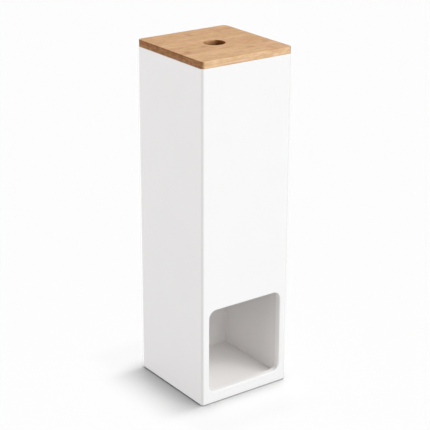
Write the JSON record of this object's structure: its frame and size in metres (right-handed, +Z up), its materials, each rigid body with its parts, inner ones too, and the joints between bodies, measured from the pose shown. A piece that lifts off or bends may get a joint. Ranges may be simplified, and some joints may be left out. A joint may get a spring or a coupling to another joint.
{
  "type": "freestanding toilet roll holder",
  "caption": "Tall square floor tower that stores spare toilet rolls, with a rounded opening at the bottom of its front and a loose bamboo lid with a finger hole.",
  "frame": {"origin": "on the floor, under the middle of the tower's outline", "axes": "+Z up, the front with the roll opening faces -Y, +X to the right seen from the front"},
  "size_m": [0.15, 0.155, 0.5065],
  "materials": {
    "white_lacquer": "satin white lacquer over smooth fibreboard",
    "bamboo": "satin oiled laminated bamboo, strips running left to right",
    "dowel_wood": "plain unfinished hardwood",
    "foot_rubber": "matt dark grey non-slip rubber",
    "screw_steel": "bright zinc plate"
  },
  "bodies": {
    "root": {"front_panel": "white_lacquer", "left_side_panel": "white_lacquer", "right_side_panel": "white_lacquer", "back_panel": "white_lacquer", "base_panel": "white_lacquer", "front_left_dowels": "dowel_wood", "front_right_dowels": "dowel_wood", "back_left_dowels": "dowel_wood", "back_right_dowels": "dowel_wood", "base_front_dowels": "dowel_wood", "base_back_dowels": "dowel_wood", "base_left_dowels": "dowel_wood", "base_right_dowels": "dowel_wood", "front_left_foot": "foot_rubber", "front_right_foot": "foot_rubber", "back_left_foot": "foot_rubber", "back_right_foot": "foot_rubber"},
    "lid": {"lid_board": "bamboo", "lid_left_batten": "bamboo", "lid_right_batten": "bamboo", "lid_screws": "screw_steel"}
  },
  "joints": [
    {"name": "lid_lift", "type": "slide", "parent": "root", "child": "lid", "axis": [0, 0, 1], "range_m": [0, 0.15]}
  ]
}
